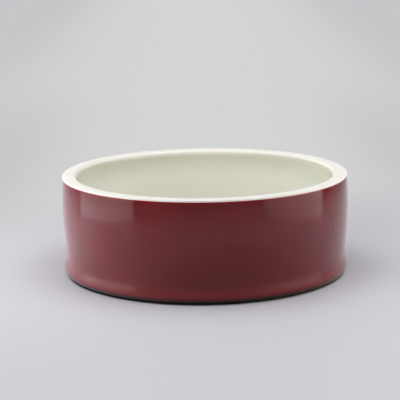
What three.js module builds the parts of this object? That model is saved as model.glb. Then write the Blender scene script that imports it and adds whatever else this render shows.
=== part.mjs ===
// A round, low brush washer of glazed porcelain, for rinsing calligraphy and painting brushes.
// It is one fired clay body in four fused glaze coats: a copper-red coat round the outside of the
// wall, a white coat over the flat lip, a pale green lining inside, and a clear coat under the base.
// All of it is turned on one axis. +Z is up, the table is at z = 0, and sizes are in millimetres.
import * as THREE from 'three';

// Driving dimensions of the whole vessel. The wall's are taken over the glaze, where it is widest
const overallHeight = 52;
const outerRadius = 75;
const wallThickness = 7.7;
const floorThickness = 4.2;

// The outside of the wall, which is drawn in a little at a waist and opens again at the foot
const bellyBelowLip = 14;
const waistHeight = 12;
const waistInset = 1.15;
const flareInset = 0.3;
const lipInset = 0.5;
const footRound = 3;

// The inside, which is rounded off at the lip, narrows slightly downwards and turns into a dished floor
const lipInnerRound = 1.8;
const innerDraft = 0.7;
const innerFillet = 9;
const floorDish = 0.4;

// The foot ring, which is bare clay, the height of the wall's underside over the table beside it,
// and the recess that it encloses
const footClearance = 1.2;
const footWidth = 5;
const footChamfer = 0.3;
const bareFootInside = 1.7;
const recessFillet = 1.5;

// Thickness of the glaze coats
const redGlazeAtLip = 0.3;
const redGlazeAtFoot = 0.6;
const lipGlaze = 0.5;
const liningGlaze = 0.4;
const baseGlaze = 0.3;

// How far the white coat hangs over the clay's outer edge, and below the rounding inside. How far
// the red coat runs in under the wall, and the bare clay between it and the foot ring
const whiteOutside = 0.3;
const whiteInside = 1.2;
const redUnderneath = 1.3;
const bareUnderneath = 0.9;

// Facets round the axis, and steps along each stretch of an outline
const segments = 64;
const wallSteps = [3, 5, 3];
const roundSteps = 4;
const edgeSteps = 2;

const point = (radius, height) => new THREE.Vector2(radius, height);

// Points of a round stretch about a centre, from one angle to another, in degrees from outwards.
function arc(centre, radius, fromAngle, toAngle, steps) {
  const points = [];
  for (let i = 0; i <= steps; i++) {
    const angle = THREE.MathUtils.degToRad(fromAngle + ((toAngle - fromAngle) * i) / steps);
    points.push(point(centre.x + radius * Math.cos(angle), centre.y + radius * Math.sin(angle)));
  }
  return points;
}

// The outside of the wall stands upright at these stations, and is an S-curve between two of them.
const flareHeight = footClearance + footRound;
const redTop = overallHeight - lipGlaze - whiteOutside;
const stations = [
  point(outerRadius - flareInset, flareHeight),
  point(outerRadius - waistInset, waistHeight),
  point(outerRadius, overallHeight - bellyBelowLip),
  point(outerRadius - lipInset, redTop),
];

// The red glaze thickens evenly from the lip down to the flare.
function redGlazeAt(height) {
  const share = THREE.MathUtils.inverseLerp(redTop, flareHeight, height);
  return THREE.MathUtils.lerp(redGlazeAtLip, redGlazeAtFoot, share);
}

// The outside of the wall from the flare up to the white glaze, over the red glaze and under it.
const wallOverGlaze = [];
const wallUnderGlaze = [];
wallSteps.forEach((steps, i) => {
  const [from, to] = [stations[i], stations[i + 1]];
  for (let step = i === 0 ? 0 : 1; step <= steps; step++) {
    const share = step / steps;
    const height = THREE.MathUtils.lerp(from.y, to.y, share);
    const radius = THREE.MathUtils.lerp(from.x, to.x, THREE.MathUtils.smoothstep(share, 0, 1));
    wallOverGlaze.push(point(radius, height));
    wallUnderGlaze.push(point(radius - redGlazeAt(height), height));
  }
});

// The rounding by which the wall turns in below the flare, to a flat underside. The red glaze runs
// round it and a little way in underneath.
const turnCentre = point(stations[0].x - footRound, flareHeight);
const redEndRadius = turnCentre.x - redUnderneath;
const turnOverGlaze = [
  point(redEndRadius, footClearance),
  ...arc(turnCentre, footRound, -90, 0, roundSteps),
];
const turnUnderGlaze = [
  point(redEndRadius, footClearance + redGlazeAtFoot),
  ...arc(turnCentre, footRound - redGlazeAtFoot, -90, 0, roundSteps),
];

// The foot ring, from its inner side to its outer side, and up to the underside of the wall.
const footOuterRadius = redEndRadius - bareUnderneath;
const footInnerRadius = footOuterRadius - footWidth;
const footRing = [
  point(footInnerRadius, footChamfer),
  point(footInnerRadius + footChamfer, 0),
  point(footOuterRadius - footChamfer, 0),
  point(footOuterRadius, footChamfer),
  point(footOuterRadius, footClearance + redGlazeAtFoot),
];

// The lip, from its outer edge inwards. The clay's edges are sharp outside and bevelled inside, and
// the glaze over them is rounded.
const lipOuterRadius = outerRadius - lipInset;
const innerRadius = outerRadius - wallThickness;
const lipOuterCentre = point(lipOuterRadius - lipGlaze, overallHeight - lipGlaze);
const lipInnerCentre = point(innerRadius + lipInnerRound, overallHeight - lipInnerRound);
const lipOverGlaze = [
  point(lipOuterRadius, redTop),
  ...arc(lipOuterCentre, lipGlaze, 0, 90, edgeSteps),
  ...arc(lipInnerCentre, lipInnerRound, 90, 180, roundSteps),
];
const lipUnderGlaze = [
  point(lipOuterRadius - redGlazeAtLip, lipOuterCentre.y),
  point(lipInnerCentre.x, lipOuterCentre.y),
  point(innerRadius + liningGlaze, lipInnerCentre.y),
];

// The recess under the base, from the axis out to the foot ring, either over its clear glaze, which
// stands off the clay by its thickness, or on the clay.
const recessHeight = bareFootInside + recessFillet;
const recessCentre = point(footInnerRadius - recessFillet, bareFootInside);
const recess = (glaze) => [
  point(0, recessHeight - glaze),
  ...arc(recessCentre, recessFillet - glaze, 90, 0, roundSteps),
];

// The inside, from the white glaze down the wall, round the fillet and over the floor to the axis,
// either over the lining or on the clay, which lies back from it by its thickness.
const liningTop = lipInnerCentre.y - whiteInside;
const floorHeight = recessHeight + floorThickness + liningGlaze;
const filletCentre = point(innerRadius - innerDraft - innerFillet, floorHeight + floorDish + innerFillet);
const inside = (glaze) => [
  point(innerRadius + glaze, liningTop),
  ...arc(filletCentre, innerFillet + glaze, 0, -90, roundSteps),
  point(0, floorHeight - glaze),
];

// Turns an outline about the axis. It runs with its material on the left, and either from the axis
// to the axis or round to its first point.
function turned(name, outline, material) {
  const geometry = new THREE.LatheGeometry(outline, segments);
  geometry.rotateX(Math.PI / 2);
  const mesh = new THREE.Mesh(geometry, material);
  mesh.name = name;
  return mesh;
}
const backwards = (points) => [...points].reverse();
const ring = (points) => [...points, points[0].clone()];

const biscuit = new THREE.MeshStandardMaterial({ color: 0xe6dfd2, roughness: 0.8, metalness: 0 });
const copperRed = new THREE.MeshStandardMaterial({ color: 0x5e2023, roughness: 0.12, metalness: 0 });
const lipWhite = new THREE.MeshStandardMaterial({ color: 0xf4f1ea, roughness: 0.15, metalness: 0 });
const paleGreen = new THREE.MeshStandardMaterial({ color: 0xd6d6c2, roughness: 0.12, metalness: 0 });
const clearGlaze = new THREE.MeshStandardMaterial({ color: 0xe9ebe4, roughness: 0.15, metalness: 0 });

const porcelainBody = turned('porcelain_body', [
  ...recess(0),
  ...footRing,
  ...turnUnderGlaze,
  ...wallUnderGlaze.slice(1),
  ...lipUnderGlaze,
  ...inside(liningGlaze),
], biscuit);

const redCoat = turned('outer_red_glaze', ring([
  ...turnOverGlaze,
  ...wallOverGlaze.slice(1),
  ...backwards(wallUnderGlaze).slice(0, -1),
  ...backwards(turnUnderGlaze),
]), copperRed);

const whiteCoat = turned('lip_white_glaze', ring([
  inside(liningGlaze)[0],
  ...backwards(lipUnderGlaze),
  wallUnderGlaze.at(-1),
  ...lipOverGlaze,
  inside(0)[0],
]), lipWhite);

const greenLining = turned('inner_green_lining', [
  ...backwards(inside(liningGlaze)),
  ...inside(0),
], paleGreen);

const baseCoat = turned('base_clear_glaze', [
  ...recess(baseGlaze),
  ...backwards(recess(0)),
], clearGlaze);

const brushWasher = new THREE.Group();
brushWasher.add(porcelainBody, redCoat, whiteCoat, greenLining, baseCoat);

export default brushWasher;
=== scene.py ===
"""A low round brush washer of glazed porcelain: copper red outside, a flat white lip, pale green inside.

The clay and its four glaze coats are fine turned surfaces that stand for the five nodes of the frame.
Sizes are in metres, and in the materials in millimetres. +Z is up, and the camera looks from -Y.
"""
import math

import bpy
import numpy as np
from mathutils import Matrix, Vector


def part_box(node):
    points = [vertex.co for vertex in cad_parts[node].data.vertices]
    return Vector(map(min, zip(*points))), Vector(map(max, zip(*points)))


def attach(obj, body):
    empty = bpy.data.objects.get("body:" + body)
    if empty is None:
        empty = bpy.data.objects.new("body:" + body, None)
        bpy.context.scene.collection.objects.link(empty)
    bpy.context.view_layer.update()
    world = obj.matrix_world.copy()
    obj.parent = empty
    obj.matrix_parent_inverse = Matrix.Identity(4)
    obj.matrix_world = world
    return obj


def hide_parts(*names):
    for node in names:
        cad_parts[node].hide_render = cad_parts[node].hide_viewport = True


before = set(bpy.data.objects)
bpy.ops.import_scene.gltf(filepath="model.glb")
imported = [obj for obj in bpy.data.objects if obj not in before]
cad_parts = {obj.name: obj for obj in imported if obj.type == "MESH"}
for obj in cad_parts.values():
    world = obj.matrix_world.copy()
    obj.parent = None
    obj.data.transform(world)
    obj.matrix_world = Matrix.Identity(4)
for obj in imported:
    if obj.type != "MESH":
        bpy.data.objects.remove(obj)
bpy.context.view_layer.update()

MM = 0.001

# How far the surfaces leave the frame's solids, to come nearer to the real vessel
RIM_RAISED = 0.1 * MM
RED_TOP_LOWERED = 0.05 * MM
UNDERSIDE_LOWERED = 0.3 * MM

# Sizes of the vessel that the frame gives
red_low, red_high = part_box("outer_red_glaze")
lip_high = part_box("lip_white_glaze")[1]
lining_low, lining_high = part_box("inner_green_lining")
base_low, base_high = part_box("base_clear_glaze")
HEIGHT = lip_high.z + RIM_RAISED
BELLY_RADIUS = red_high.x
LIP_RADIUS = lip_high.x
RED_TOP = red_high.z - RED_TOP_LOWERED
UNDERSIDE = red_low.z - UNDERSIDE_LOWERED
LINING_TOP = lining_high.z
CLAY_INNER_RADIUS = lining_high.x
CLAY_FLOOR = lining_low.z
FOOT_INNER_RADIUS = base_high.x
BARE_FOOT_INSIDE = base_low.z
RECESS_HEIGHT = base_high.z

# Sizes of the wall, the lip and the foot that a box doesn't give
BELLY_BELOW_LIP = 16 * MM
BELLY_SWELL = 0.2 * MM
WAIST_LOW = 9.8 * MM
WAIST_HIGH = 11.3 * MM
WAIST_DEPTH = 0.88 * MM
FLARE_INSET = 0.2 * MM
FOOT_ROUND = 2.4 * MM
CREASE = 2.5 * MM
FOOT_WIDTH = 5 * MM
FOOT_CHAMFER = 0.3 * MM
BARE_UNDERNEATH = 0.9 * MM
LIP_CROWN = 0.06 * MM
LIP_INNER_ROUND = 1.5 * MM
LIP_OUTER_ROUND = 0.35 * MM
INNER_DRAFT = 0.7 * MM
INNER_FILLET = 9 * MM
FLOOR_DISH = 0.4 * MM

# Thickness of the glaze coats
RED_AT_LIP = 0.3 * MM
RED_AT_FOOT = 0.6 * MM
LIP_GLAZE = 0.5 * MM
LINING_GLAZE = 0.4 * MM
BASE_GLAZE = 0.3 * MM

# Waves round the axis by which the waist and the rim leave the circle: for each how many, how deep, and
# turned by what angle
WAIST_WAVES = [(1, -0.12 * MM, 0), (2, 0.34 * MM, 0), (4, -0.17 * MM, 0)]
RIM_WAVES = [(2, 0.06 * MM, 0.7), (3, 0.03 * MM, 2.1)]

# Facets round the axis, and the angle in degrees past which an edge between facets stays crisp
SEGMENTS = 288
CRISP_EDGE = 35

# Rings of points up the outside, over the lip, down the inner wall, and across the floor and the recess
OUTER_RINGS = 97
CROWN_RINGS = 25
INNER_RINGS = 49
FLOOR_RINGS = 33
RECESS_RINGS = 17

# Refractive index of the glazes and the clay
REFRACTION = 1.5


def bow(centre, radius, start, end, steps=12):
    """A round stretch of an outline about a centre, between two angles in degrees from outwards."""
    angle = np.radians(np.linspace(start, end, steps + 1))
    return np.stack([centre[0] + radius * np.cos(angle), centre[1] + radius * np.sin(angle)], axis=1)


def join(*stretches):
    """One outline from several stretches, without the points that two of them share."""
    points = np.concatenate([np.atleast_2d(stretch) for stretch in stretches])
    apart = np.linalg.norm(np.diff(points, axis=0), axis=1) > 1e-7
    return points[np.concatenate([[True], apart])]


def smooth(share):
    """0 to 1 along an S-curve that starts and ends level: three times the square less twice the cube."""
    share = np.clip(share, 0, 1)
    return share * share * (3 - 2 * share)


FLARE_HEIGHT = UNDERSIDE + FOOT_ROUND
BELLY_HEIGHT = HEIGHT - BELLY_BELOW_LIP


def waist_share(height):
    """1 at the waist, less along an S-curve down to 0 at the flare, and less along a quarter of a sine
    wave up to 0 at the belly. Its mean over a crease's height rounds off the corner above the waist."""
    height = np.asarray(height)[..., None] + np.linspace(-CREASE / 2, CREASE / 2, 11)
    below = smooth((height - FLARE_HEIGHT) / (WAIST_LOW - FLARE_HEIGHT))
    above = np.clip((height - WAIST_HIGH) / (BELLY_HEIGHT - WAIST_HIGH), 0, 1)
    return (below - np.sin(above * np.pi / 2)).mean(axis=-1)


def wall_radius(height):
    """Radius of the outside of the wall, over the glaze, at a height. It widens from the flare to the
    belly along an S-curve, less the waist's depth, and then draws in to the lip along a parabola."""
    rise = smooth((height - FLARE_HEIGHT) / (BELLY_HEIGHT - FLARE_HEIGHT))
    above = np.clip((height - BELLY_HEIGHT) / (RED_TOP - BELLY_HEIGHT), 0, 1)
    flare = BELLY_RADIUS - FLARE_INSET
    belly = BELLY_RADIUS + BELLY_SWELL
    wall = flare + (belly - flare) * rise - (belly - LIP_RADIUS) * above ** 2
    return wall - WAIST_DEPTH * waist_share(height)


def red_thickness(height):
    """Thickness of the red coat, which grows evenly from the lip down to the flare."""
    share = (RED_TOP - height) / (RED_TOP - FLARE_HEIGHT)
    return RED_AT_LIP + (RED_AT_FOOT - RED_AT_LIP) * share


wall_heights = np.linspace(FLARE_HEIGHT, RED_TOP, OUTER_RINGS)
wall_over = np.stack([wall_radius(wall_heights), wall_heights], axis=1)
wall_under = np.stack([wall_radius(wall_heights) - red_thickness(wall_heights), wall_heights], axis=1)

# The rounding under the flare, and the flat underside that the red coat runs in along
turn_centre = (wall_over[0, 0] - FOOT_ROUND, FLARE_HEIGHT)
foot_outer_radius = FOOT_INNER_RADIUS + FOOT_WIDTH
red_end_radius = foot_outer_radius + BARE_UNDERNEATH
red_end_centre = (red_end_radius + RED_AT_FOOT, UNDERSIDE + RED_AT_FOOT)
turn_over = bow(turn_centre, FOOT_ROUND, -90, 0, steps=24)
turn_under = join(
    (red_end_radius, UNDERSIDE + RED_AT_FOOT),
    bow(turn_centre, FOOT_ROUND - RED_AT_FOOT, -90, 0, steps=24),
)

# The lip: a rounded outer edge, a barely crowned top, and a rounding down to the inside
inner_radius = CLAY_INNER_RADIUS - LINING_GLAZE
lip_outer_centre = (LIP_RADIUS - LIP_OUTER_ROUND, HEIGHT - LIP_CROWN - LIP_OUTER_ROUND)
lip_inner_centre = (inner_radius + LIP_INNER_ROUND, HEIGHT - LIP_CROWN - LIP_INNER_ROUND)
crown_share = np.linspace(0, 1, CROWN_RINGS)
crown = np.stack([
    lip_outer_centre[0] + (lip_inner_centre[0] - lip_outer_centre[0]) * crown_share,
    HEIGHT - LIP_CROWN * (2 * crown_share - 1) ** 2,
], axis=1)
lip_over = join(
    (LIP_RADIUS, RED_TOP),
    bow(lip_outer_centre, LIP_OUTER_ROUND, 0, 90),
    crown,
    bow(lip_inner_centre, LIP_INNER_ROUND, 90, 180, steps=20),
)
lip_under = join(
    (LIP_RADIUS - RED_AT_LIP, RED_TOP + LIP_OUTER_ROUND / 2),
    (lip_inner_centre[0], HEIGHT - LIP_GLAZE),
    (CLAY_INNER_RADIUS, lip_inner_centre[1]),
)

# The inside, from the lip to the middle of the floor
floor_height = CLAY_FLOOR + LINING_GLAZE
fillet_centre = (inner_radius - INNER_DRAFT - INNER_FILLET, floor_height + FLOOR_DISH + INNER_FILLET)


def inside(glaze):
    """The inner wall, its fillet and the dished floor, over the lining or set back by its thickness."""
    fillet = bow(fillet_centre, INNER_FILLET + glaze, 0, -90, steps=32)
    wall = np.linspace((inner_radius + glaze, LINING_TOP), fillet[0], INNER_RINGS)
    share = np.linspace(0, 1, FLOOR_RINGS)
    dish = np.stack([fillet[-1, 0] * (1 - share), fillet[-1, 1] - FLOOR_DISH * smooth(share)], axis=1)
    return join(wall, fillet, dish)


def recess(glaze):
    """The recess under the base, from the axis to the foot ring, on the clay or below it by the glaze."""
    rounding = RECESS_HEIGHT - BARE_FOOT_INSIDE
    corner = bow((FOOT_INNER_RADIUS - rounding, BARE_FOOT_INSIDE), rounding - glaze, 90, 0)
    return join(np.linspace((0, RECESS_HEIGHT - glaze), corner[0], RECESS_RINGS), corner)


foot_ring = join(
    bow((FOOT_INNER_RADIUS + FOOT_CHAMFER, FOOT_CHAMFER), FOOT_CHAMFER, 180, 270, steps=5),
    bow((foot_outer_radius - FOOT_CHAMFER, FOOT_CHAMFER), FOOT_CHAMFER, 270, 360, steps=5),
    (foot_outer_radius, UNDERSIDE + RED_AT_FOOT),
)


def waves(kinds, angle):
    """A sum of waves round the axis, at an angle: each is its depth times the cosine of its count times the
    angle plus its turn."""
    return sum(depth * np.cos(count * angle + turn) for count, depth, turn in kinds)


def uneven(x, y, z):
    """Scales points sideways, as a hand-thrown wall is out of true, by 1 plus a depth over the belly's
    radius. The depth is the rim's waves, which grow upwards along an S-curve, less the waist's, which
    draw the waist in deepest at -X and leave it shallow in front and behind."""
    angle = np.arctan2(y, x)
    out = waves(RIM_WAVES, angle) * smooth(z / HEIGHT) - waves(WAIST_WAVES, angle) * waist_share(z)
    scale = 1 + out / BELLY_RADIUS
    return np.stack([x * scale, y * scale, z], axis=-1)


def turned(name, outline, node):
    """A solid turned about the axis. Its outline has the material on its left, and runs from the axis
    to the axis or round to its start. A point of it at radius r and height z is carried round, as
    (r cos a, r sin a, z) for each angle a, and a point on the axis is a single vertex."""
    closed = outline[0, 0] > 0
    rings = outline if closed else outline[1:-1]
    angle = np.arange(SEGMENTS) * 2 * np.pi / SEGMENTS
    x = rings[:, :1] * np.cos(angle)
    y = rings[:, :1] * np.sin(angle)
    z = np.broadcast_to(rings[:, 1:], x.shape)
    points = uneven(x, y, z).reshape(-1, 3)

    side = np.arange(SEGMENTS)
    next_side = np.roll(side, -1)
    ring = np.arange(len(rings) if closed else len(rings) - 1)[:, None] * SEGMENTS
    next_ring = (ring + SEGMENTS) % len(points)
    corners = [ring + side, ring + next_side, next_ring + next_side, next_ring + side]
    faces = np.stack(corners, axis=2).reshape(-1, 4).tolist()
    if not closed:
        last_ring = len(points) - SEGMENTS
        pole = np.full(SEGMENTS, len(points))
        faces += np.stack([pole, next_side, side], axis=1).tolist()
        faces += np.stack([last_ring + side, last_ring + next_side, pole + 1], axis=1).tolist()
        points = np.concatenate([points, [[0, 0, outline[0, 1]], [0, 0, outline[-1, 1]]]])

    mesh = bpy.data.meshes.new(name)
    mesh.from_pydata(points, [], faces)
    mesh.shade_smooth()
    mesh.set_sharp_from_angle(angle=math.radians(CRISP_EDGE))
    piece = bpy.data.objects.new(name, mesh)
    bpy.context.scene.collection.objects.link(piece)
    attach(piece, "root")
    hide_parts(node)
    return piece


clay_body = turned("clay_body", join(
    recess(0),
    foot_ring,
    turn_under,
    wall_under,
    lip_under,
    inside(LINING_GLAZE),
), "porcelain_body")

red_coat = turned("red_coat", join(
    bow(red_end_centre, RED_AT_FOOT, 180, 270, steps=8),
    turn_over,
    wall_over,
    wall_under[::-1],
    turn_under[::-1],
)[:-1], "outer_red_glaze")

white_lip = turned("white_lip", join(
    inside(LINING_GLAZE)[0],
    lip_under[::-1],
    wall_under[-1],
    lip_over,
    inside(0)[0],
), "lip_white_glaze")

green_lining = turned("green_lining", join(
    inside(LINING_GLAZE)[::-1],
    inside(0),
), "inner_green_lining")

clear_base = turned("clear_base", join(
    recess(BASE_GLAZE),
    recess(0)[::-1],
), "base_clear_glaze")


class Value:
    """An output of a shader node. Python's operators on it add Math nodes."""

    def __init__(self, shader, socket):
        self.shader = shader
        self.socket = socket

    def math(self, operation, first, second):
        """A Math node on two values."""
        return self.shader.node("ShaderNodeMath", {"operation": operation}, {0: first, 1: second})

    def __add__(self, other):
        return self.math("ADD", self, other)

    __radd__ = __add__

    def __sub__(self, other):
        return self.math("SUBTRACT", self, other)

    def __rsub__(self, other):
        return self.math("SUBTRACT", other, self)

    def __mul__(self, other):
        return self.math("MULTIPLY", self, other)

    __rmul__ = __mul__

    def output(self, name):
        """Another output of the same node."""
        return Value(self.shader, self.socket.node.outputs[name])


class Shader:
    """The node tree of a material, a lamp or the world, and what its nodes work out."""

    def __init__(self, owner):
        owner.use_nodes = True
        self.tree = owner.node_tree
        self.tree.nodes.clear()

    def node(self, kind, settings, inputs, output=0):
        """Adds a node with its settings and the values or links of its sockets, and gives one output."""
        made = self.tree.nodes.new(kind)
        for name, value in settings.items():
            setattr(made, name, value)
        for key, value in inputs.items():
            if isinstance(value, Value):
                self.tree.links.new(value.socket, made.inputs[key])
            else:
                made.inputs[key].default_value = value
        return Value(self, made.outputs[output]) if made.outputs else None

    def place(self):
        """The place on a piece, in metres."""
        return self.node("ShaderNodeTexCoord", {}, {}, "Object")

    def along(self, axis):
        """The coordinate along an axis, in millimetres."""
        return self.node("ShaderNodeSeparateXYZ", {}, {0: self.place()}, axis) * (1 / MM)

    def distance(self, x=0, y=0):
        """The distance, as seen from above, from a point of the table, in millimetres."""
        flat = self.node("ShaderNodeVectorMath", {"operation": "MULTIPLY"}, {0: self.place(), 1: (1, 1, 0)})
        inputs = {0: flat, 1: (x * MM, y * MM, 0)}
        return self.node("ShaderNodeVectorMath", {"operation": "DISTANCE"}, inputs, "Value") * (1 / MM)

    def blend(self, share, first, second):
        """A colour between two colours."""
        return self.node("ShaderNodeMix", {"data_type": "RGBA"}, {0: share, 6: first, 7: second}, 2)

    def ramp(self, value, low, high):
        """0 to 1 along an S-curve, while a value goes from low to high."""
        settings = {"interpolation_type": "SMOOTHSTEP"}
        return self.node("ShaderNodeMapRange", settings, {0: value, 1: low, 2: high})

    def clouds(self, size, detail=2.0):
        """Cloudy noise about 0.5, with features of about a size in millimetres."""
        inputs = {"Vector": self.place(), "Scale": 1 / (size * MM), "Detail": detail}
        return self.node("ShaderNodeTexNoise", {}, inputs)

    def specks(self, spacing, size, share):
        """1 in round specks that fade out to their edge, one in each of a share of cells, and else 0. Their
        size and the spacing of the cells are in millimetres."""
        inputs = {"Vector": self.place(), "Scale": 1 / (spacing * MM)}
        distance = self.node("ShaderNodeTexVoronoi", {}, inputs)
        pick = self.node("ShaderNodeSeparateColor", {}, {0: distance.output("Color")})
        radius = size / 2 / spacing
        speck = 1 - self.ramp(distance, 0.4 * radius, radius)
        return speck * self.ramp(pick, 1 - share, 1.001 - share)

    def bump(self, height, depth):
        """A normal from a height field, one unit of which is a depth in millimetres."""
        return self.node("ShaderNodeBump", {}, {"Distance": depth * MM, "Height": height})

    def surface(self, sockets):
        """Ends a material in a surface with these sockets."""
        self.end(self.node("ShaderNodeBsdfPrincipled", {}, sockets))

    def end(self, surface):
        """Ends a material in a surface shader."""
        self.node("ShaderNodeOutputMaterial", {}, {"Surface": surface})


def finish_of(piece):
    """A new material on a piece."""
    material = bpy.data.materials.new(piece.name)
    piece.data.materials.append(material)
    return Shader(material)


def shown(red, green, blue):
    """Linear light of a colour that shows on a screen as these values from 0 to 255."""
    value = np.array([red, green, blue]) / 255
    light = np.where(value <= 0.04045, value / 12.92, ((value + 0.055) / 1.055) ** 2.4)
    return (*light.tolist(), 1.0)


# Copper red: clear, clouded, mottled, painted shade low down in front, thin at the lip, a touch redder
# over the flare as painted light, where it ends at the foot with painted shade, and in a pinhole
RED = shown(111, 20, 26)
RED_CLOUD = shown(102, 16, 22)
RED_MOTTLE = shown(94, 14, 18)
RED_PAINTED_SHADE = shown(97, 15, 20)
RED_THIN = shown(168, 30, 28)
RED_FLARE_PAINTED_LIGHT = shown(112, 18, 23)
RED_END_AND_SHADE = shown(34, 10, 12)
RED_PINHOLE = shown(60, 30, 30)

# The two whites of the lip, and the lining in the middle, at its two sides with painted shade, and in the
# band under the lip
WHITE = shown(246, 243, 237)
CREAM = shown(243, 238, 230)
PALE_GREEN = shown(234, 232, 222)
GREENER_AND_SHADED = shown(219, 224, 210)
OLIVE = shown(198, 196, 177)

# The glazed base, clear, clouded and in a speck, and the bare clay, also toasted and worn
BASE = shown(232, 234, 226)
BASE_CLOUD = shown(226, 226, 214)
BASE_SPECK = shown(120, 104, 84)
CLAY = shown(232, 222, 206)
CLAY_CLOUD = shown(224, 210, 190)
CLAY_TOASTED = shown(158, 116, 88)
CLAY_WORN = shown(176, 168, 156)
CLAY_SPECK = shown(120, 100, 80)


def copper_red(piece):
    """Copper red glaze: softly clouded, darker low down at -Y as painted shade, brighter where it thins at
    the lip, a touch redder over the flare as painted light, and almost black where it ends at the foot,
    partly as painted shade under the rounding, with a few pinholes."""
    shader = finish_of(piece)
    height = shader.along("Z")
    cloud = shader.clouds(16, 3)
    mottle = shader.clouds(1.4, 3)
    red = shader.blend(shader.ramp(cloud, 0.3, 0.7), RED_CLOUD, RED)
    red = shader.blend(shader.ramp(mottle, 0.35, 0.8) * 0.5, red, RED_MOTTLE)
    # Painted shade: the red is darker low down in front
    painted_shade_low_in_front = (1 - shader.ramp(shader.along("Y"), -74, -62)) * (1 - shader.ramp(height, 8, 38))
    red = shader.blend(painted_shade_low_in_front, red, RED_PAINTED_SHADE)
    lip_edge = RED_TOP / MM - height + (mottle - 0.5) * 0.4
    red = shader.blend(1 - shader.ramp(lip_edge, 0.25, 0.6), red, RED_THIN)
    foot_edge = height - UNDERSIDE / MM + (mottle - 0.5) * 0.3
    # Painted light: a touch redder over the flare, where it tilts up to the lamps
    red = shader.blend(1 - shader.ramp(foot_edge, 4.0, 9.0), red, RED_FLARE_PAINTED_LIGHT)
    # Almost black where the glaze ends at the foot, partly painted shade under the rounding
    red = shader.blend(1 - shader.ramp(foot_edge, 0.8, 3.2), red, RED_END_AND_SHADE)
    red = shader.blend(shader.specks(11, 1.0, 0.2) * 0.55, red, RED_PINHOLE)
    ripples = shader.clouds(5, 1) + 0.4 * shader.clouds(1.4, 2)
    softer = 1 - shader.ramp(foot_edge, 5.0, 12.0)
    shader.surface({
        "Base Color": red,
        "Roughness": 0.09 + shader.ramp(cloud, 0.3, 0.8) * 0.05 + softer * 0.1,
        "IOR": REFRACTION,
        "Normal": shader.bump(ripples, 0.02),
    })


def white_to_green(shader):
    """The white of the lip, a little creamy in places, which passes inside into the pale green of the
    lining: an olive band under the lip that fades downwards, and greener and darker at the two sides,
    partly as painted shade. The white ends a little higher on the rounding at the two sides, which also
    paints shade over the rounding's highlight there."""
    height = shader.along("Z")
    across = shader.along("X") + 12 * (shader.clouds(22, 3) - 0.5)
    # Partly painted shade: the lining is darker and greener towards both sides
    painted_shade_to_sides = shader.ramp(across * across, 46 ** 2, 67 ** 2)
    pale = shader.blend(painted_shade_to_sides, PALE_GREEN, GREENER_AND_SHADED)
    band = 1 - shader.ramp(LINING_TOP / MM - height + 2 * shader.clouds(15), 0.5, 14.0)
    green = shader.blend(band * 0.7, pale, OLIVE)
    white = shader.blend(shader.ramp(shader.clouds(9, 3), 0.35, 0.7), WHITE, CREAM)
    # The white's edge is raised at the two sides, which also lays painted shade over the inner rounding's
    # highlight
    raised = 1.1 * shader.ramp(across, 0, 55) + 1.1 * (1 - shader.ramp(across, -62, -35))
    below_top = 1 - shader.ramp(height, HEIGHT / MM - 0.7, HEIGHT / MM - 0.05)
    edge = height - LINING_TOP / MM - raised * below_top
    return shader.blend(shader.ramp(edge, -0.4, 2.3), green, white)


def pale_green(piece):
    """The lining, with the glaze's faint ripples."""
    shader = finish_of(piece)
    shader.surface({
        "Base Color": white_to_green(shader),
        "Roughness": 0.1 + shader.ramp(shader.clouds(12), 0.3, 0.8) * 0.06,
        "IOR": REFRACTION,
        "Normal": shader.bump(shader.clouds(6, 1), 0.03),
    })


def lip_white(piece):
    """The glaze of the lip, smooth and a little softer in its gloss."""
    shader = finish_of(piece)
    shader.surface({
        "Base Color": white_to_green(shader),
        "Roughness": 0.4 + shader.ramp(shader.clouds(4), 0.3, 0.8) * 0.1,
        "IOR": REFRACTION,
        "Normal": shader.bump(shader.clouds(6, 1), 0.01),
    })


def clear_over_clay(piece):
    """Clear glaze over the pale clay of the base, with fine dark specks."""
    shader = finish_of(piece)
    cloud = shader.clouds(18, 3)
    pale = shader.blend(shader.ramp(cloud, 0.3, 0.7), BASE, BASE_CLOUD)
    shader.surface({
        "Base Color": shader.blend(shader.specks(6, 0.35, 0.2) * 0.6, pale, BASE_SPECK),
        "Roughness": 0.1 + shader.ramp(shader.clouds(10), 0.3, 0.8) * 0.08,
        "IOR": REFRACTION,
        "Normal": shader.bump(shader.clouds(5, 1), 0.03),
    })


def bare_clay(piece):
    """Bare fired porcelain, matt and fine-grained: toasted where the glaze ends, and worn grey where it
    stands."""
    shader = finish_of(piece)
    height = shader.along("Z")
    cloud = shader.clouds(5, 3)
    clay = shader.blend(shader.ramp(cloud, 0.3, 0.7), CLAY, CLAY_CLOUD)
    inwards = foot_outer_radius / MM - shader.distance() + (shader.clouds(3) - 0.5)
    toast = 1 - shader.ramp(inwards, 0.2, 1.2)
    clay = shader.blend(toast * 0.9, clay, CLAY_TOASTED)
    worn = 1 - shader.ramp(height + (shader.clouds(1.2, 3) - 0.5) * 0.3, 0.0, 0.12)
    clay = shader.blend(worn * 0.5, clay, CLAY_WORN)
    shader.surface({
        "Base Color": shader.blend(shader.specks(1.6, 0.25, 0.15) * 0.6, clay, CLAY_SPECK),
        "Roughness": 0.75 + shader.clouds(2) * 0.15,
        "IOR": REFRACTION,
        "Normal": shader.bump(shader.clouds(0.35, 4), 0.05),
    })


bare_clay(clay_body)
copper_red(red_coat)
lip_white(white_lip)
pale_green(green_lining)
clear_over_clay(clear_base)

# The camera, at the photograph's angle. Its lens and sensor are in millimetres
CAMERA_DISTANCE = 0.7402
CAMERA_ELEVATION = math.radians(11.783)
CAMERA_ROLL = math.radians(-0.843)
CAMERA_TARGET = Vector((-2.56 * MM, 0, 36.84 * MM))
CAMERA_LENS = 126
CAMERA_SENSOR = 36

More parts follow.
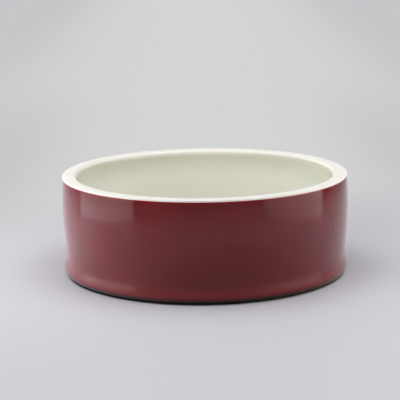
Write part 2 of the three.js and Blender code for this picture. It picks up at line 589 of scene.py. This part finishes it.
lens = bpy.data.cameras.new("camera")
lens.sensor_width = CAMERA_SENSOR
lens.lens = CAMERA_LENS
lens.clip_end = 100
camera = bpy.data.objects.new("camera", lens)
bpy.context.scene.collection.objects.link(camera)
tilt = Matrix.Rotation(math.pi / 2 - CAMERA_ELEVATION, 4, "X")
back_off = Matrix.Translation((0, 0, CAMERA_DISTANCE))
camera.matrix_world = (
    Matrix.Translation(CAMERA_TARGET) @ tilt @ back_off @ Matrix.Rotation(CAMERA_ROLL, 4, "Z")
)
bpy.context.scene.camera = camera


def softbox(name, place, target, width, height, radiance, first=1, last=1, middle=0):
    """A soft lamp that faces a target and is itself out of sight. White shows at a radiance of 1. Along
    its width the radiance goes evenly from a first to a last share of itself, plus a middle share along a
    parabola that is 0 at both ends."""
    light = bpy.data.lights.new(name, "AREA")
    light.shape = "RECTANGLE"
    light.size = width
    light.size_y = height
    light.energy = math.pi * width * height * radiance
    lamp = bpy.data.objects.new(name, light)
    bpy.context.scene.collection.objects.link(lamp)
    lamp.location = place
    lamp.rotation_mode = "QUATERNION"
    lamp.rotation_quaternion = (Vector(target) - Vector(place)).to_track_quat("-Z", "Y")
    lamp.visible_camera = False
    shader = Shader(light)
    along = shader.node("ShaderNodeNewGeometry", {}, {}, "Parametric")
    along = shader.node("ShaderNodeSeparateXYZ", {}, {0: along}, "X")
    share = first + (last - first) * along + 4 * middle * along * (1 - along)
    glow = shader.node("ShaderNodeEmission", {}, {"Strength": share})
    shader.node("ShaderNodeOutputLight", {}, {"Surface": glow})


# A low and a high lamp stand at each side, face straight across and are mirrored in the wall
LEFT = (-0.24, -0.077)
LEFT_WIDTH = 0.24
LEFT_SHARES = (0.84, 0.78, 0.46)
RIGHT = (0.24, -0.135)
RIGHT_WIDTH = 0.272
RIGHT_SHARES = (0.3, 1.2, 0)
for name, (x, y), z, width, height, radiance, shares in (
    ("left_low", LEFT, 0.02, LEFT_WIDTH, 0.04, 1.2, LEFT_SHARES),
    ("left_high", LEFT, 0.13, LEFT_WIDTH, 0.18, 2.4, LEFT_SHARES),
    ("right_low", RIGHT, 0.012, RIGHT_WIDTH, 0.024, 0.85, RIGHT_SHARES),
    ("right_high", RIGHT, 0.122, RIGHT_WIDTH, 0.196, 1.5, RIGHT_SHARES),
):
    softbox(name, (x, y, z), (0, y, z), width, height, radiance, *shares)

# Two more stand behind at the sides and face the axis
softbox("left_back", (-0.27, 0.22, 0.1), (0, 0, 0.1), 0.36, 0.10, 1.8)
softbox("right_back", (0.27, 0.22, 0.225), (0, 0, 0.225), 0.36, 0.35, 1.1)

# Four hang overhead and face straight down
OVERHEAD = 0.9
OVERHEAD_WIDTH = 0.45
for name, x, y, depth, radiance in (
    ("top_left", -0.45, -0.15, 0.90, 1.75),
    ("top_right", 0.45, -0.15, 0.90, 2.9),
    ("top_near", 0, -0.15, 0.45, 0.8),
    ("top_back", 0, 0.4, 0.45, 1.7),
):
    softbox(name, (x, y, OVERHEAD), (x, y, 0), OVERHEAD_WIDTH, depth, radiance)

# Tones of the table, with its painted light and shade, and of the backdrop that it passes into, with its
# painted fall-off of light
BACKDROP = shown(208, 208, 211)
BACKDROP_MIDDLE = shown(212, 212, 213)
BACKDROP_PAINTED_SHADE = shown(199, 199, 202)
BACKDROP_FRONT = shown(208, 207, 213)
TABLE = shown(201, 200, 207)
TABLE_PAINTED_SHADOW = shown(185, 184, 191)
TABLE_PAINTED_LIGHT_BEHIND = shown(214, 213, 220)
TABLE_PAINTED_LIGHT_BEHIND_LEFT = shown(232, 230, 240)
TABLE_DIM_PAINTED_SHADE = shown(170, 170, 172)
TABLE_DARK_PAINTED_SHADE = shown(30, 30, 30)
LIGHTER_PAINTED_SHADE = shown(140, 132, 108)

# The table, which reaches far past what the camera sees
TABLE_REACH = 6
table_mesh = bpy.data.meshes.new("table")
corners = [(-TABLE_REACH, -TABLE_REACH, 0), (TABLE_REACH, -TABLE_REACH, 0),
           (TABLE_REACH, TABLE_REACH, 0), (-TABLE_REACH, TABLE_REACH, 0)]
table_mesh.from_pydata(corners, [], [(0, 1, 2, 3)])
table = bpy.data.objects.new("table", table_mesh)
bpy.context.scene.collection.objects.link(table)
shader = finish_of(table)
across = shader.along("X")
back = shader.along("Y")
seen = shader.node("ShaderNodeLightPath", {}, {}, "Is Camera Ray")

# In reflections it has painted light, paler behind the vessel and most at -X, and painted shade, dim in
# front and dark past its two sides
pale = shader.blend(shader.ramp(across, -100, -20), TABLE_PAINTED_LIGHT_BEHIND_LEFT, TABLE_PAINTED_LIGHT_BEHIND)
tone = shader.blend(shader.ramp(back, -90, -10), TABLE, pale)
tone = shader.blend(shader.ramp(shader.distance(30, -110), 40, 100), TABLE_DIM_PAINTED_SHADE, tone)
tone = shader.blend(shader.ramp(across * across - back * back, 360 ** 2, 500 ** 2), tone, TABLE_DARK_PAINTED_SHADE)

# Where it is seen it has one tone, with a painted shadow a little darker beside the vessel at +X
painted_shadow_beside = shader.ramp(across, 50, 80) * shader.ramp(back, -60, 0)
tone = shader.blend(seen, tone, shader.blend(painted_shadow_beside, TABLE, TABLE_PAINTED_SHADOW))

# Painted shade: it is dark under the foot, out to a line that is a little wider along X, and less dark at
# +X
painted_shade_under_foot = 1 - shader.ramp(0.975 * across * across + back * back, 71.7 ** 2, 73.2 ** 2)
shade = shader.blend(shader.ramp(across, -40, 50), TABLE_DARK_PAINTED_SHADE, LIGHTER_PAINTED_SHADE)
tone = shader.blend(painted_shade_under_foot, tone, shade)
satin = shader.node("ShaderNodeBsdfPrincipled", {}, {"Base Color": tone, "Roughness": 0.5})

# The backdrop has painted light: it is brightest in the middle, darker as painted shade to both sides of
# the vessel and far behind it, and has a tone of its own in front
painted_falloff_aside = shader.ramp(across * across, 0.0, 280 ** 2) * shader.ramp(back, 100, 600)
painted_shade_near_sides = shader.ramp(across * across, 50 ** 2, 160 ** 2) * (1 - shader.ramp(back, 300, 900))
backdrop = shader.blend(painted_falloff_aside, BACKDROP_MIDDLE, BACKDROP_PAINTED_SHADE)
backdrop = shader.blend(painted_shade_near_sides, backdrop, BACKDROP_PAINTED_SHADE)
backdrop = shader.blend(shader.ramp(back, -220, -60), BACKDROP_FRONT, backdrop)
plain = shader.node("ShaderNodeEmission", {}, {"Color": backdrop})

# It takes over from the table in two steps, clear of the foot and clear of the vessel's shadow
clear_of_foot = shader.ramp(shader.distance(), 74, 105)
clear_of_shadow = shader.ramp(shader.distance(30, 8), 100, 250)
share = (0.3 * clear_of_foot + 0.7 * clear_of_shadow) * seen
shader.end(shader.node("ShaderNodeMixShader", {}, {0: share, 1: satin, 2: plain}))

# The surroundings: the backdrop's colour where they are seen, and otherwise dim, with some light from
# the front and from behind, and most from low down behind at -X
FRONT_LIGHT = 0.43
BACK_LIGHT = 0.2
LEFT_LIGHT = 1.5
world = bpy.data.worlds.new("surroundings")
bpy.context.scene.world = world
shader = Shader(world)
direction = shader.node("ShaderNodeTexCoord", {}, {}, "Generated")
across = shader.node("ShaderNodeSeparateXYZ", {}, {0: direction}, "X")
back = across.output("Y")
rise = across.output("Z")
behind_left = shader.ramp(back, -0.1, 0.4) * (1 - shader.ramp(across, -0.7, 0.0))
light = FRONT_LIGHT * (1 - shader.ramp(back, -0.6, 0.2))
light = light + BACK_LIGHT * shader.ramp(back, 0.2, 0.8) * (1 - shader.ramp(rise, 0.3, 0.6))
light = light + LEFT_LIGHT * behind_left * (1 - shader.ramp(rise, 0.4, 0.8))
light = shader.node("ShaderNodeCombineXYZ", {}, {0: light, 1: light, 2: light})
seen = shader.node("ShaderNodeLightPath", {}, {}, "Is Camera Ray")
room = shader.node("ShaderNodeBackground", {}, {"Color": shader.blend(seen, light, BACKDROP)})
shader.node("ShaderNodeOutputWorld", {}, {"Surface": room})

bpy.context.scene.view_settings.view_transform = "Standard"
